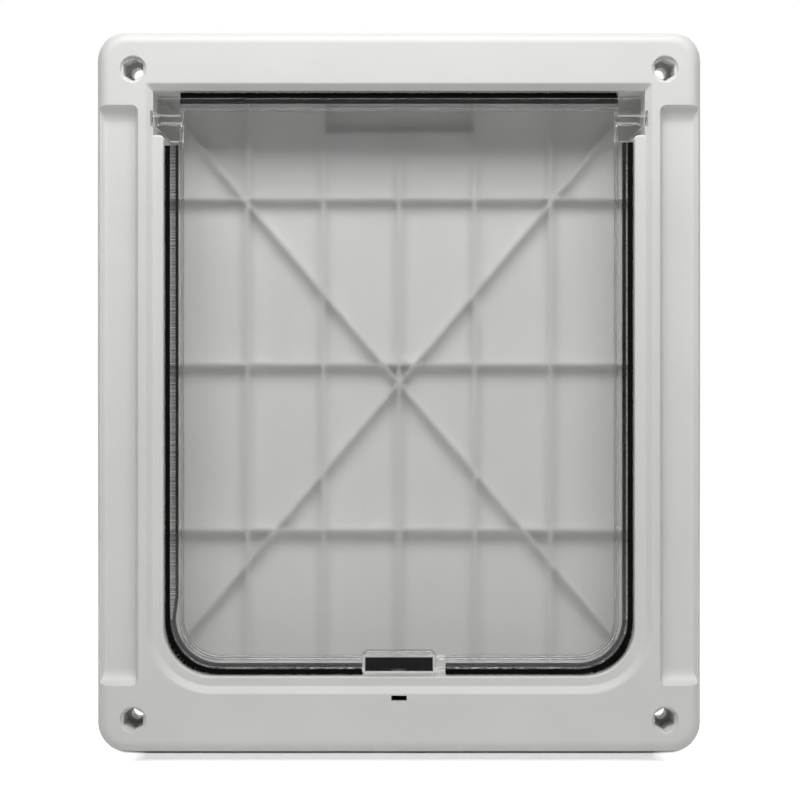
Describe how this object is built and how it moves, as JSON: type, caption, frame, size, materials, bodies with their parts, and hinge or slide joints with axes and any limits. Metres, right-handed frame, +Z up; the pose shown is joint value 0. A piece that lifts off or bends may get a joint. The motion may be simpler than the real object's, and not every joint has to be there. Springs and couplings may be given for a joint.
{
  "type": "pet door",
  "caption": "Framed pet door with a clear top-hinged flap in brush seals, a magnetic catch, and a ribbed closing panel that slides down behind it.",
  "frame": {"origin": "middle of the four screw holes, in the plane where the outer frame meets the door", "axes": "+X to the right seen from the street side, +Y from the street side into the room, +Z up"},
  "size_m": [0.296, 0.0457, 0.354],
  "materials": {
    "white_moulding": "white injection-moulded ABS with a fine satin grain",
    "clear_flap": "clear moulded acrylic, faintly hazed",
    "clear_holder": "clear moulded acrylic",
    "brush_seal": "black woven pile",
    "magnet": "dark ground ferrite",
    "panel_moulding": "white injection-moulded ABS"
  },
  "bodies": {
    "frame": {"outer_frame": "white_moulding", "inner_frame": "white_moulding", "sill_magnet": "magnet"},
    "flap": {"flap": "clear_flap", "head_seal": "brush_seal", "left_seal": "brush_seal", "right_seal": "brush_seal", "magnet_holder": "clear_holder", "flap_magnet": "magnet"},
    "closing_panel": {"closing_panel": "panel_moulding"}
  },
  "joints": [
    {"name": "flap_swing", "type": "hinge", "parent": "frame", "child": "flap", "pos_m": [0, -0.0135, 0.135], "axis": [-1, 0, 0], "range_deg": [0, 90]},
    {"name": "panel_slide", "type": "slide", "parent": "frame", "child": "closing_panel", "axis": [0, 0, 1], "range_m": [0, 0.3]}
  ]
}
